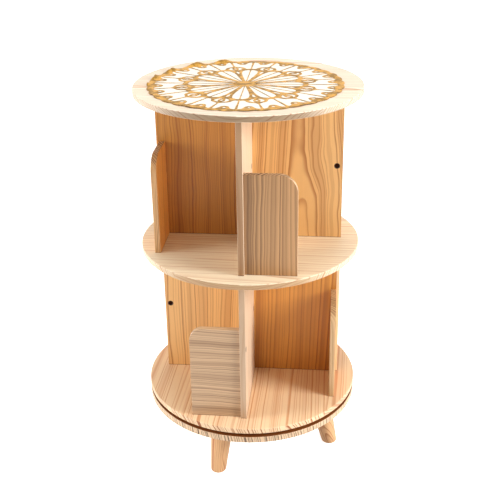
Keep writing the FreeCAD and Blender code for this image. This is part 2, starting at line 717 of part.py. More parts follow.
upper_plate = plate(
    "bearing_upper_plate", "Sizes.turn_gap - Sizes.plate_thick",
    f"{BALL_PLANE} + Sizes.race_split", "Sizes.turn_gap - Sizes.plate_thick / 2",
)
race_groove(upper_plate)
round_opening(
    upper_plate, "Sizes.race_radius - Sizes.race_width / 2",
    "Sizes.turn_gap - Sizes.plate_thick", "Sizes.plate_thick",
)
FLANGE_TOP = "Sizes.turn_gap - Sizes.ring_play"
LIP_TOP = f"{FLANGE_TOP} - Sizes.ring_thick - Sizes.ring_play"
lip = sketch_on(upper_plate, "XZ_Plane", "Lip")
lip_root = "Sizes.race_radius - Sizes.race_width / 2 + Sizes.plate_thick"
polygon(lip, [
    ("Sizes.lip_radius", f"{LIP_TOP} - Sizes.plate_thick"), (lip_root, f"{LIP_TOP} - Sizes.plate_thick"),
    (lip_root, LIP_TOP), ("Sizes.lip_radius", LIP_TOP),
])
lip_ring = upper_plate.newObject("PartDesign::Revolution", "LipRing")
lip_ring.Profile = lip
lip_ring.ReferenceAxis = (lip, ["V_Axis"])
lip_ring.Angle = 360
doc.recompute()
plate_screw_holes(upper_plate, "Sizes.plate_thick", "Sizes.turn_gap - Sizes.plate_thick", backwards=True)
lift(upper_plate, BEARING_Z)
node(upper_plate, "bearing_upper_plate")

ring_body = new_body("bearing_retaining_ring")
section = sketch_on(ring_body, "XZ_Plane", "Section")
wall = "Sizes.ring_radius - Sizes.ring_thick"
polygon(section, [
    ("Sizes.ring_radius - Sizes.ring_foot", "Sizes.plate_thick"),
    ("Sizes.ring_radius", "Sizes.plate_thick"),
    ("Sizes.ring_radius", f"{FLANGE_TOP} - Sizes.ring_thick"),
    ("Sizes.lip_radius + Sizes.ring_overlap", f"{FLANGE_TOP} - Sizes.ring_thick"),
    ("Sizes.lip_radius + Sizes.ring_overlap", FLANGE_TOP),
    (wall, FLANGE_TOP),
    (wall, "Sizes.plate_thick + Sizes.ring_thick"),
    ("Sizes.ring_radius - Sizes.ring_foot", "Sizes.plate_thick + Sizes.ring_thick"),
])
turned = ring_body.newObject("PartDesign::Revolution", "Turned")
turned.Profile = section
turned.ReferenceAxis = (section, ["V_Axis"])
turned.Angle = 360
doc.recompute()
lift(ring_body, BEARING_Z)
node(ring_body, "bearing_retaining_ring")

cage = new_body("bearing_ball_cage")
outline = sketch_on(cage, "XY_Plane", "Outline", f"{BALL_PLANE} - Sizes.cage_thick / 2")
circle(outline, "0", "0", "Sizes.race_radius + Sizes.cage_width / 2", "outer")
circle(outline, "0", "0", "Sizes.race_radius - Sizes.cage_width / 2", "inner")
pad(cage, outline, "Sizes.cage_thick")
drill = sketch_on(cage, "XY_Plane", "BallHole", f"{BALL_PLANE} - Sizes.cage_thick / 2")
circle(drill, "Sizes.race_radius", "0", "Sizes.ball_radius + Sizes.ball_play", "ball")
repeat(cage, pocket(cage, drill, "Sizes.cage_thick", backwards=True), "Sizes.ball_count")
lift(cage, BEARING_Z)
node(cage, "bearing_ball_cage")

balls = []
for k in range(int(sizes.ball_count)):
    angle = 2 * math.pi * k / sizes.ball_count
    ball = doc.addObject("Part::Sphere", "Ball")
    ball.setExpression("Radius", "Sizes.ball_radius")
    ball.setExpression("Placement.Base.x", f"Sizes.race_radius * {math.cos(angle):.9f}")
    ball.setExpression("Placement.Base.y", f"Sizes.race_radius * {math.sin(angle):.9f}")
    ball.setExpression("Placement.Base.z", f"{BEARING_Z} + {BALL_PLANE}")
    balls.append(ball)
group("bearing_balls", balls)

PLATE_SCREW = (
    "Sizes.plate_screw_radius", "Sizes.plate_screw_head_radius", "Sizes.plate_screw_head_height", False,
)
HEAD_STAND = "(Sizes.plate_thick + Sizes.plate_screw_head_height)"
PLATE_SCREW_REACH = f"({HEAD_STAND} + Sizes.plate_screw_length - Sizes.plate_screw_spare)"
for name, z, up in (
    ("bearing_base_screws", f"{BEARING_Z} + {HEAD_STAND}", 1),
    ("bearing_board_screws", f"{LOWER_Z} - {HEAD_STAND}", -1),
):
    group(name, [
        aim(screw(PLATE_SCREW_REACH, *PLATE_SCREW), x, y, z, Vector(0, 0, up))
        for x, y in arm_points("Sizes.plate_screw_out", "Sizes.plate_screw_out", "0")
    ])


# Openwork mat: a white film under a net of gold lines, laid out as a plain rosette of twelve petals
MAT_PETALS = 12
PETAL_PITCH = 360 / MAT_PETALS
SCALLOPS_PER_PETAL = 3
CORNER_SHARE = 0.35                  # of a hole's shorter side, taken by the arc at its corner
net_field = mat_radius - sizes.mat_rim

# The holes of one petal's sector. A corner is its radius as a share of the field's, its angle from the
# petal's middle in petal pitches, and a step aside from there in line widths.
PETAL_HALF = [
    (0.07, 0, 0.4), (0.2, 0.35, -0.4), (0.35, 0.36, 0), (0.49, 0.35, 0), (0.59, 0.27, 0), (0.64, 0, 0.5),
]
WEDGE_DROP = [(0.41, 0.5, 0), (0.53, 0.57, 0), (0.57, 0.5, 0), (0.53, 0.43, 0)]
LOOP_CRESCENT = [
    (0.61, 0.5, -0.5), (0.64, 0.33, 0), (0.69, 0.27, 0), (0.735, 0.34, 0), (0.755, 0.5, -0.5),
    (0.73, 0.43, 0), (0.69, 0.39, 0), (0.65, 0.42, 0),
]
LOOP_EYE = [(0.655, 0.5, 0), (0.69, 0.555, 0), (0.72, 0.5, 0), (0.69, 0.445, 0)]
FIELD_CELL = [
    (0.675, 0, 0.5), (0.67, 0.15, 0), (0.75, 0.245, 0), (0.79, 0.5, -0.5), (1, 0.5, -1.2),
    (0.97, 0.38, 0), (0.9, 0.33, 0), (0.88, 0.25, 0), (0.9, 0.17, 0), (0.97, 0.12, 0), (1, 0, 1.2),
]
FAN_EYE = [(0.905, 0.25, 0), (0.94, 0.295, 0), (0.965, 0.25, 0), (0.94, 0.205, 0)]
SINGLE_HOLES = (WEDGE_DROP, LOOP_EYE)
MIRRORED_HOLES = (PETAL_HALF, LOOP_CRESCENT, FIELD_CELL, FAN_EYE)


def polar(radius, degrees):
    angle = math.radians(degrees)
    return Vector(radius * math.cos(angle), radius * math.sin(angle), 0)


def hole_wire(corners, middle, side=1):
    """A hole's outline: straight sides with an arc at each corner, tangent to both sides."""
    points = []
    for share, pitches, lines in corners:
        radius = share * net_field
        aside = pitches * PETAL_PITCH + math.degrees(lines * sizes.mat_line / radius)
        points.append(polar(radius, middle + side * aside))
    count = len(points)
    bends = []
    for i, here in enumerate(points):
        to_last, to_next = points[i - 1] - here, points[(i + 1) % count] - here
        reach = CORNER_SHARE * min(to_last.Length, to_next.Length)
        to_last.normalize()
        to_next.normalize()
        half = to_last.getAngle(to_next) / 2
        inward = (to_last + to_next).normalize() * (1 - math.sin(half)) / math.cos(half)
        bends.append((here + to_last * reach, here + inward * reach, here + to_next * reach))
    edges = []
    for i, (start, bend, end) in enumerate(bends):
        edges.append(Part.Arc(start, bend, end).toShape())
        edges.append(Part.LineSegment(end, bends[(i + 1) % count][0]).toShape())
    return Part.Wire(edges)


def scalloped_wire():
    """The mat's rim: shallow arcs side by side."""
    count = SCALLOPS_PER_PETAL * MAT_PETALS
    step = 360 / count
    crest = mat_radius + sizes.mat_scallop
    return Part.Wire([
        Part.Arc(
            polar(mat_radius, k * step), polar(crest, (k + 0.5) * step),
            polar(mat_radius, (k + 1) * step),
        ).toShape()
        for k in range(count)
    ])


def lay_mat(item, height):
    item.setExpression("Placement.Base.x", "Sizes.mat_shift_x")
    item.setExpression("Placement.Base.y", "Sizes.mat_shift_y")
    item.setExpression("Placement.Base.z", height)


film = doc.addObject("Part::Cylinder", "Film")
film.setExpression("Radius", "Sizes.board_radius - Sizes.mat_margin - Sizes.mat_film_margin")
film.setExpression("Height", "Sizes.mat_film_thick")
lay_mat(film, MAT_Z)
node(film, "mat_film")

net_wires = [scalloped_wire()]
for k in range(MAT_PETALS):
    middle = k * PETAL_PITCH
    net_wires += [hole_wire(corners, middle) for corners in SINGLE_HOLES]
    net_wires += [hole_wire(corners, middle, side) for corners in MIRRORED_HOLES for side in (1, -1)]
net_face = Part.Face(net_wires, "Part::FaceMakerBullseye")
net = doc.addObject("Part::Feature", "Net")
net.Shape = net_face.extrude(Vector(0, 0, sizes.mat_net_thick))
lay_mat(net, f"{MAT_Z} + Sizes.mat_film_thick")
node(net, "mat_net")

doc.recompute()
for item in doc.Objects:
    if "Invalid" in item.State or "Error" in item.State:
        raise RuntimeError(f"{item.Name} failed: {item.State}")
os.makedirs("parts", exist_ok=True)
for item in nodes:
    shape = item.Shape
    if shape.isNull() or not shape.isValid() or not shape.Solids:
        raise RuntimeError(f"{item.Label} has no valid solid")
for item in nodes:
    item.Shape.exportStep(f"parts/{item.Label}.step")
    print(f"{item.Label}: {len(item.Shape.Solids)} solids, {item.Shape.Volume:.0f} mm3")
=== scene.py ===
# %% [markdown]
# # A two-tier revolving bookcase in pine
# The construction, every board, dowel, screw and bearing piece, comes from the CAD model at its real size.
# This script gives each piece its finish, remakes the soft mat on the top, and sets up a small studio with
# the camera where the photographer stood. Everything is in metres, in the model's own frame: the floor is
# z = 0, the turning axis is x = y = 0, and the front faces -Y.

# %% Load the frame
import json
import math
import bpy
from mathutils import Matrix, Vector

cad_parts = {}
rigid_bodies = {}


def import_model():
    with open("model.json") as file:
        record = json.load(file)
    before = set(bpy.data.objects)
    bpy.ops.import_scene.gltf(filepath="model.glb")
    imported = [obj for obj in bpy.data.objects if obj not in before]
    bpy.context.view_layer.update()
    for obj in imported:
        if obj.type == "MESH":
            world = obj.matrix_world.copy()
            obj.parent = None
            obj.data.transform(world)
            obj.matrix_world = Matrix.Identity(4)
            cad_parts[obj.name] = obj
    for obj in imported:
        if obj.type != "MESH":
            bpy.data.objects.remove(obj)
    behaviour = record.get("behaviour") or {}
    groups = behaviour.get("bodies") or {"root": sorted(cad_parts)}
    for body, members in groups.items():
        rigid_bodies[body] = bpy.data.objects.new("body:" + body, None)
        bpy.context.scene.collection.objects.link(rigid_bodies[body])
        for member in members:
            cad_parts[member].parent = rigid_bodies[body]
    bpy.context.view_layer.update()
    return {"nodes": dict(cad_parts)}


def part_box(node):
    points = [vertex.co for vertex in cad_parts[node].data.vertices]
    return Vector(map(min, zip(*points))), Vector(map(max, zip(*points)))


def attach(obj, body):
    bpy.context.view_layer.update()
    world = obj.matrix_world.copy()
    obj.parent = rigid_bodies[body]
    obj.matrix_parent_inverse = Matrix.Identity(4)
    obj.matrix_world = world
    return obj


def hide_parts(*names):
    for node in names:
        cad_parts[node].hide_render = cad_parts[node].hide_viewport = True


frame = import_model()
nodes = frame["nodes"]

# %% [markdown]
# ## Camera
# The picture was taken from a little to the right of the front and from well above the top board, so the
# lens looks down. Its place was worked out from the ellipses of the round boards, which fix the height, and
# from the uprights, which fix the pitch. A small downward shift of the frame keeps the uprights nearly parallel.

# %% Camera
FRAME_PIXELS = 500
SENSOR = 36.0                        # mm
FOCAL_PIXELS = 894.0
AXIS_PIXEL_ROW = 225.0               # where the lens axis meets the picture
CAMERA_AWAY = 1.7463                 # from the turning axis, along the floor
CAMERA_HEIGHT = 1.2544
CAMERA_AROUND = math.radians(5.535)  # to the right of the front
CAMERA_PITCH = math.radians(23.343)
CAMERA_ROLL = math.radians(-0.773)

bpy.ops.object.camera_add()
camera = bpy.context.object
around = Matrix.Rotation(CAMERA_AROUND, 4, "Z")
camera.matrix_world = (
    around
    @ Matrix.Translation((0, -CAMERA_AWAY, CAMERA_HEIGHT))
    @ Matrix.Rotation(math.pi / 2 - CAMERA_PITCH, 4, "X")
    @ Matrix.Rotation(CAMERA_ROLL, 4, "Z")
)
camera.data.sensor_width = SENSOR
camera.data.lens = FOCAL_PIXELS / FRAME_PIXELS * SENSOR
camera.data.shift_y = (AXIS_PIXEL_ROW - FRAME_PIXELS / 2) / FRAME_PIXELS
bpy.context.scene.camera = camera
print("lens", round(camera.data.lens, 1), "mm, shift", round(camera.data.shift_y, 3))

# %% [markdown]
# ## Node helpers
# A finish is a chain of nodes. Made by hand they are dragged in and wired, and here one small helper adds a node
# with its settings and what feeds it, and another does arithmetic. Nodes that are used often get short names of
# their own further on, where they are first needed.


# %% Node helpers
def put(tree, kind, feeds=None, **settings):
    """Adds a node. feeds gives each input, by name or number, a socket to follow or a plain value."""
    made = tree.nodes.new("ShaderNode" + kind)
    for name, value in settings.items():
        setattr(made, name, value)
    for key, source in (feeds or {}).items():
        if isinstance(source, bpy.types.NodeSocket):
            tree.links.new(source, made.inputs[key])
        else:
            made.inputs[key].default_value = source
    return made


def calc(tree, operation, *values):
    """Arithmetic on numbers."""
    return put(tree, "Math", dict(enumerate(values)), operation=operation).outputs[0]


# %% [markdown]
# ## Pine
# Pine shows its growth rings: pale spring wood and a thin darker line of summer wood, sharp on its outer side.
# A flat picture of stripes would not turn a corner, so the rings are made in space, as nested cylinders round
# a pith that lies below the board. The face then cuts them into long lines and arches, and the board's end
# cuts the same rings into short ticks, as a saw does. All this is one node group, so that each board can be cut
# from the same timber with values of its own. In it x runs along the grain, y across it and z through the board.


# %% Pine group
def new_group(name, inputs, outputs):
    """A shader node group with named sockets, and its input and output nodes."""
    tree = bpy.data.node_groups.new(name, "ShaderNodeTree")
    for label, value in inputs.items():
        kind = "NodeSocketFloat"
        if isinstance(value, tuple):
            kind = "NodeSocketColor" if len(value) == 4 else "NodeSocketVector"
        tree.interface.new_socket(name=label, in_out="INPUT", socket_type=kind).default_value = value
    for label, kind in outputs.items():
        tree.interface.new_socket(name=label, in_out="OUTPUT", socket_type=kind)
    return tree, tree.nodes.new("NodeGroupInput").outputs, tree.nodes.new("NodeGroupOutput").inputs


PINE_INPUTS = {
    "Vector": (0.0, 0.0, 0.0),       # the place on the board
    "Normal": (0.0, 0.0, 1.0),       # which way the surface faces there
    "Stave": 0.09,                   # width of the staves that a wide board is glued up from
    "Scatter": 1.0,                  # how much the piths stray from the middles of their staves
    "Seed": 0.0,                     # which timber it is
    "Ring": 0.005,                   # width of a year
    "Late": 0.45,                    # how far into the year the summer wood starts
    "Pith": 0.05,                    # how deep the pith lies under the board
    "Side": 0.0,                     # how far to one side it lies
    "Tilt": 0.08,                    # how fast it rises or falls along the board
    "Wave": 0.02,                    # how far the grain wanders, slowly
    "Curl": 0.003,                   # and how far it wavers, quickly
    "Spring": (0.8, 0.6, 0.4, 1.0),
    "Summer": (0.5, 0.25, 0.1, 1.0),
    "Contrast": 0.6,                 # strength of the summer lines
    "Bands": 0.1,                    # of the warmer bands that are a few years wide
    "Fibre": 0.12,                   # of the fibres
    "Tones": 0.1,                    # of the differences between staves
    "Heart_and_shade": 0.0,                    # the side on which the heartwood lies, 1 or -1, or 0 for a little all over; on the wide dividers it is also painted shade on the closed side
    "Pale_strip": 9.0,                      # how far out a pale strip along one edge starts
    "Edge": 0.6,                     # how much the sawn edges take the tone of Rim, partly their own tone, partly painted shade on the boards and a painted highlight on the stoppers
    "Rim": (0.6, 0.53, 0.46, 1.0),
    "Ends": 0.2,                     # and how much of that where the grain ends
    "Ticks": 0.0,                    # how dark the rings are there
    "Bore": 9.0,                     # how far out the sunk holes are
    "Foot": (0.0, 0.0, 0.0),         # the vector whose product with the place is 1 at an upright's foot
    "Covered": 0.0,                  # how far out another board covers it
}
tree, given, result = new_group("Pine", PINE_INPUTS, {"Color": "NodeSocketColor", "Height": "NodeSocketFloat"})
pine_group = tree
along, across, through = put(tree, "SeparateXYZ", {0: given["Vector"]}).outputs
print("pine group:", len(PINE_INPUTS), "inputs")

# %% [markdown]
# ## Staves
# Boards this wide are glued up from staves, each from another log or another part of it. So the board's width is
# first divided into staves, and each draws its own place for the pith, its tilt and its depth.


# %% Staves
def draw(tree, number):
    """A random draw for a whole number: a colour of three chances, and one more as Value."""
    return put(tree, "TexWhiteNoise", {"W": number}, noise_dimensions="1D").outputs


TIMBER_STEP = 7.31                   # keeps the draws of one timber apart from those of the next
place = calc(tree, "ADD", calc(tree, "DIVIDE", across, given["Stave"]), given["Seed"])
stave = calc(tree, "FLOOR", place)
chance = draw(tree, calc(tree, "MULTIPLY_ADD", given["Seed"], TIMBER_STEP, stave))["Color"]
pick = put(tree, "SeparateColor", {0: chance}).outputs
shift = calc(tree, "MULTIPLY_ADD", calc(tree, "SUBTRACT", pick[0], 0.5), given["Scatter"], -0.5)
stave_y = calc(tree, "MULTIPLY", calc(tree, "ADD", calc(tree, "FRACT", place), shift), given["Stave"])
stave_y = calc(tree, "SUBTRACT", stave_y, given["Side"])
lean = calc(tree, "MULTIPLY", calc(tree, "MULTIPLY", calc(tree, "SUBTRACT", pick[1], 0.5), given["Tilt"]), along)
depth = calc(tree, "MULTIPLY", given["Pith"], calc(tree, "ADD", pick[2], 0.5))
print("staves:", len(tree.nodes), "nodes so far")

# %% [markdown]
# ## Growth rings
# A ring is where the distance from the pith reaches another year's width. The trunk was never a true cylinder, so
# the place is first moved by a slow drift and a quicker waver. Real rings also differ from year to year, so
# some years are wide and some narrow, and each has a summer line of its own strength.


# %% Pattern helpers
def stretch(tree, vector, along, across):
    """Coordinates multiplied, so that a pattern is long one way and fine the other two."""
    return put(tree, "VectorMath", {0: vector, 1: (along, across, across)}, operation="MULTIPLY").outputs[0]


def ramp(tree, value, low, high, to_low=0.0, to_high=1.0, kind="SMOOTHSTEP"):
    """A change from one number to another while a value goes from low to high."""
    feeds = dict(enumerate((value, low, high, to_low, to_high)))
    return put(tree, "MapRange", feeds, interpolation_type=kind).outputs[0]


def noise(tree, vector, scale=1.0, detail=2.0, rough=0.5):
    """Soft random patches in space."""
    return put(tree, "TexNoise", {"Vector": vector, "Scale": scale, "Detail": detail, "Roughness": rough}).outputs[0]


def noise_along(tree, value, detail):
    """Soft random changes along one number."""
    feeds = {"W": value, "Detail": detail, "Scale": 1.0}
    return put(tree, "TexNoise", feeds, noise_dimensions="1D").outputs[0]


def far(tree, one, other):
    """How far from zero a point is, by two of its coordinates."""
    squares = calc(tree, "ADD", calc(tree, "MULTIPLY", one, one), calc(tree, "MULTIPLY", other, other))
    return calc(tree, "SQRT", squares)


# %% Growth rings
STAVES_APART = (9.0, 9.0, 9.0)       # so that no stave's grain goes on in the next
DRIFT = (1.6, 5.0)                   # changes a metre, along the grain and across it
WAVER = (7.0, 4.5)                   # how many times quicker than the drift the waver is, both ways
SIDEWAYS = 1.5                       # the grain wanders more to the side than up and down
GOOD_YEARS = 45.0                    # changes between wide and narrow years, a metre
YEARS_MOVED = 3.0                    # how many rings they may move a line by
LINE_PEAK = 0.9                      # how far into the year the summer line is darkest
FAINTEST = 0.25                      # strength of the faintest line
drift = put(tree, "VectorMath", {0: chance, 1: STAVES_APART, 2: stretch(tree, given["Vector"], *DRIFT)},
            operation="MULTIPLY_ADD").outputs[0]
wander = calc(tree, "SUBTRACT", noise(tree, drift, 1.0, 2.0, 0.45), 0.5)
waver = calc(tree, "SUBTRACT", noise(tree, stretch(tree, drift, *WAVER), 1.0, 1.5), 0.5)
sway = calc(tree, "MULTIPLY_ADD", wander, given["Wave"], calc(tree, "MULTIPLY", waver, given["Curl"]))
down = calc(tree, "ADD", calc(tree, "ADD", through, depth), calc(tree, "ADD", lean, sway))
radius = far(tree, down, calc(tree, "MULTIPLY_ADD", sway, SIDEWAYS, stave_y))
years = noise_along(tree, calc(tree, "MULTIPLY_ADD", radius, GOOD_YEARS, stave), 2.0)
count = calc(tree, "MULTIPLY_ADD", years, YEARS_MOVED, calc(tree, "DIVIDE", radius, given["Ring"]))
year = calc(tree, "FRACT", count)
line = calc(tree, "MULTIPLY", ramp(tree, year, given["Late"], LINE_PEAK), ramp(tree, year, LINE_PEAK, 1.0, 1.0, 0.0))
strength = draw(tree, calc(tree, "FLOOR", count))["Value"]
rings = calc(tree, "MULTIPLY", line, calc(tree, "MULTIPLY_ADD", strength, 1 - FAINTEST, FAINTEST))
print("growth rings:", len(tree.nodes), "nodes so far")

# %% [markdown]
# ## Fibres and ducts
# Between the rings the wood has finer marks. Fibres and short dark resin ducts run along the grain, and are noise
# that is stretched to be forty to seventy times as long as it is wide. Soft clouds and bands of tone are much
# broader. The surface stands up a little at the hard summer lines and at the fibres, and that is its relief.

# %% Fibres and ducts
FIBRES = (9.0, 650.0)                # changes a metre, along the grain and across it
DUCTS = (35.0, 1400.0)
CLOUDS = (1.2, 2.6)                  # how many times quicker than the drift the clouds change, both ways
BAND_PACE = 0.28                     # warm bands a year
FIBRE_RELIEF = 0.5                   # how high the fibres are, next to the summer lines
bands = noise_along(tree, calc(tree, "MULTIPLY_ADD", count, BAND_PACE, stave), 1.0)
fibres = noise(tree, stretch(tree, given["Vector"], *FIBRES), 1.0, 3.0, 0.6)
ducts = ramp(tree, noise(tree, stretch(tree, given["Vector"], *DUCTS), 1.0, 1.0), 0.68, 0.78)
cloud = noise(tree, stretch(tree, drift, *CLOUDS))
tree.links.new(calc(tree, "MULTIPLY_ADD", fibres, FIBRE_RELIEF, rings), result["Height"])
print("fibres and ducts:", len(tree.nodes), "nodes so far")

# %% [markdown]
# ## The wood's tones
# The summer wood's colour is laid over the spring wood's, by ring, band and duct. Two things follow the place across
# the board and not the ring: redder heartwood, which on the wide dividers is also painted shade on the side of the
# closed compartment, comes in towards one edge, and a pale strip may be left along the other.
# Colours are written as they look on a screen, from 0 to 255, and turned into the renderer's linear values. A tint
# multiplies the colour that it falls on.


# %% Colour helpers
def blend(tree, share, one, other, how="MIX"):
    """Two colours mixed, or the first changed by the second."""
    feeds = {0: share, 6: one, 7: other}
    return put(tree, "Mix", feeds, data_type="RGBA", blend_type=how).outputs[2]


def dot(tree, one, other):
    """The dot product of two directions or places."""
    return put(tree, "VectorMath", {0: one, 1: other}, operation="DOT_PRODUCT").outputs["Value"]


def brighten(tree, colour, light):
    """A colour times a number."""
    return put(tree, "VectorMath", {0: colour, "Scale": light}, operation="SCALE").outputs[0]


def screen(*levels):
    """A colour as it looks on a screen, from 0 to 255, as a linear colour."""
    def linear(level):
        share = level / 255
        return share / 12.92 if share <= 0.04045 else ((share + 0.055) / 1.055) ** 2.4

    return (*map(linear, levels), 1.0)


print("a screen level of 128 is", round(screen(128)[0], 3), "of full light")

# %% Wood tones
END_ON = (0.45, 0.85)                # how much a surface faces along the grain before it counts as end grain
END_SOAKED = 0.9                     # how much more of the finish the end grain takes
DUCT_SHARE = 0.22
HEART_AND_SHADE_REACH = (-0.01, 0.015)         # from the middle of the board, where the heartwood tint, on the wide dividers also painted shade, starts and where it is full
HEART_AND_SHADE_TINT = (0.74, 0.55, 0.25, 1.0)
PALE_STRIP_FADE = 0.0015
PALE_STRIP_SHARE = 0.85
PALE_STRIP = screen(240, 208, 166)
end = ramp(tree, calc(tree, "ABSOLUTE", dot(tree, given["Normal"], (1.0, 0.0, 0.0))), *END_ON)
# Sawn ends soak up more of the finish, so their rings are darker
soaked = calc(tree, "MULTIPLY_ADD", end, END_SOAKED, 1.0)
shade = calc(tree, "MULTIPLY", calc(tree, "MULTIPLY", rings, given["Contrast"]), soaked)
colour = blend(tree, shade, given["Spring"], given["Summer"])
colour = blend(tree, calc(tree, "MULTIPLY", ramp(tree, bands, 0.45, 0.7), given["Bands"]), colour, given["Summer"])
colour = blend(tree, calc(tree, "MULTIPLY", ducts, DUCT_SHARE), colour, given["Summer"])
# Heartwood tint; on the wide dividers it is also painted shade on the side of the closed compartment
heart_and_shade = ramp(tree, calc(tree, "MULTIPLY", across, given["Heart_and_shade"]), *HEART_AND_SHADE_REACH)
colour = blend(tree, heart_and_shade, colour, HEART_AND_SHADE_TINT, "MULTIPLY")
# A pale strip along the far edge of the board
pale_strip = ramp(tree, across, given["Pale_strip"], calc(tree, "ADD", given["Pale_strip"], PALE_STRIP_FADE))
colour = blend(tree, calc(tree, "MULTIPLY", pale_strip, PALE_STRIP_SHARE), colour, PALE_STRIP)
light = calc(tree, "MULTIPLY_ADD", calc(tree, "SUBTRACT", fibres, 0.5), given["Fibre"], 1.0)
tone = calc(tree, "ADD", calc(tree, "SUBTRACT", pick[1], 0.5), calc(tree, "SUBTRACT", cloud, 0.5))
light = calc(tree, "MULTIPLY_ADD", tone, given["Tones"], light)
print("wood tones:", len(tree.nodes), "nodes so far")

# %% [markdown]
# ## Edges, holes and painted shade
# The last layer is partly what the workshop did and partly painted light. Sawn edges have a tone of their own, with
# dark ticks where the rings end, and the same edge tone is also painted shade on the boards' edges and a painted
# highlight on the stoppers' paler edges. The walls of the holes where the screws sit are painted dark as painted
# shade. A fine dark line of painted shade runs round the foot of each upright, and a board's face that another one
# covers is painted dark as painted shade in the gap. These are tones in the same wood, so they are masks in the
# group and not pieces of their own. A board without them keeps the inputs' first values, which put the holes and the
# pale strip far outside it and leave the painted shade at the foot and under the cover out.

# %% Edges, holes and painted shade
FACE_ON = (0.3, 0.8)                 # how much a surface faces up or down before it counts as the board's face
TICK_TINT = (0.2, 0.1, 0.05, 1.0)
HOLE_REACH = (0.0056, 0.0066)        # from a hole's middle to where its tone starts to fade and to where it ends
# Painted shade in the walls of the sunk holes
HOLE_SHADE = screen(58, 18, 4)
# Painted shade: a fine dark line round the foot of each upright
FOOT_SHADE_REACH = (0.99, 0.997)           # the last part of the way down to the foot
FOOT_SHADE_SHARE = 0.75
FOOT_SHADE = screen(84, 40, 12)
# Painted shade on a face that another board covers, in the gap between them
GAP_SHADE = screen(128, 70, 24)
face_way = dot(tree, given["Normal"], (0.0, 0.0, 1.0))
# Edge tone: partly the sawn edges' own tone, partly painted shade on the boards' edges and a painted highlight on
# the stoppers' paler edges
edge = ramp(tree, calc(tree, "ABSOLUTE", face_way), *FACE_ON, given["Edge"], 0.0)
at_ends = calc(tree, "MULTIPLY_ADD", end, calc(tree, "SUBTRACT", given["Ends"], 1.0), 1.0)
colour = blend(tree, calc(tree, "MULTIPLY", edge, at_ends), colour, given["Rim"], "MULTIPLY")
ticks = calc(tree, "MULTIPLY", calc(tree, "MULTIPLY", rings, end), given["Ticks"])
colour = blend(tree, ticks, colour, TICK_TINT, "MULTIPLY")
# The holes are bored at that distance each way from the middle, and their walls are painted dark as painted shade
out_by = calc(tree, "SUBTRACT", calc(tree, "ABSOLUTE", across), given["Bore"])
colour = blend(tree, ramp(tree, far(tree, along, out_by), *HOLE_REACH, 1.0, 0.0), colour, HOLE_SHADE)
# The painted shade at the foot of an upright is where Foot times the place reaches 1
foot_shade = ramp(tree, dot(tree, given["Vector"], given["Foot"]), *FOOT_SHADE_REACH)
colour = blend(tree, calc(tree, "MULTIPLY", foot_shade, FOOT_SHADE_SHARE), colour, FOOT_SHADE)
# Painted shade where another board covers the face
covered = calc(tree, "LESS_THAN", far(tree, along, across), given["Covered"])
colour = blend(tree, calc(tree, "MULTIPLY", covered, ramp(tree, face_way, *FACE_ON)), colour, GAP_SHADE)
tree.links.new(brighten(tree, colour, light), result["Color"])
print("pine group:", len(tree.nodes), "nodes in all")

# %% [markdown]
# ## One board, one piece of timber
# Every board is cut from its own plank, so each gets its own material from the same group, with the grain
# turned the way the joiner laid it. A Mapping node turns the object's coordinates so that x runs along the
# grain, y across the staves and z through the thickness.


# %% Material helpers
def new_material(name):
    """A material, its node tree and its shader."""
    material = bpy.data.materials.new(name)
    material.use_nodes = True
    return material, material.node_tree, material.node_tree.nodes["Principled BSDF"]


def wire(tree, shader, colour, rough, height, strength, deepest):
    """Gives a shader its colour, its roughness and a relief."""
    relief = put(tree, "Bump", {"Height": height, "Strength": strength, "Distance": deepest}).outputs[0]
    for label, source in (("Base Color", colour), ("Roughness", rough), ("Normal", relief)):
        tree.links.new(source, shader.inputs[label])


def dress(name, material):
    """Puts a material in a CAD node's slots."""
    data = nodes[name].data
    data.materials.clear()
    data.materials.append(material)


# %% Pine materials
X, Y, Z = Vector((1, 0, 0)), Vector((0, 1, 0)), Vector((0, 0, 1))
SPRING_ROUGH, SUMMER_ROUGH = 0.5, 0.42
PINE_RELIEF = (0.12, 0.0004)         # how strong, and how deep in metres


def pine(name, grain, across, spring, summer, foot_shade=False, **values):
    """A pine material for one node, its coordinates centred on the node's box and turned to its grain."""
    low, high = map(Vector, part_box(name))
    turn = Matrix((grain, across, grain.cross(across)))
    angles = tuple(turn.to_euler())
    material, tree, shader = new_material(f"pine_{name}")
    where = put(tree, "TexCoord").outputs
    centre = -(turn @ ((low + high) / 2))
    placed = put(tree, "Mapping", {"Vector": where["Object"], "Rotation": angles, "Location": centre})
    facing = put(tree, "Mapping", {"Vector": where["Normal"], "Rotation": angles}, vector_type="NORMAL")
    # Painted shade along the foot of an upright
    if foot_shade:
        values["Foot"] = turn @ Vector((0, 0, -2 / (high - low).z))
    feeds = {"Vector": placed.outputs[0], "Normal": facing.outputs[0], "Spring": screen(*spring),
             "Summer": screen(*summer), **values}
    wood = put(tree, "Group", feeds, node_tree=pine_group).outputs
    rough = ramp(tree, wood["Height"], 0.0, 1.5, SPRING_ROUGH, SUMMER_ROUGH, "LINEAR")
    wire(tree, shader, wood["Color"], rough, wood["Height"], *PINE_RELIEF)
    return material


# %% [markdown]
# ## The round boards
# Four boards carry everything. The two upper ones are nearly white, the lower one is warmer with broad bands,
# and the base board shows close dark ticks all round its rim. Each line names the grain and the way across it,
# the colours of the spring and the summer wood, and what differs from the plain timber.

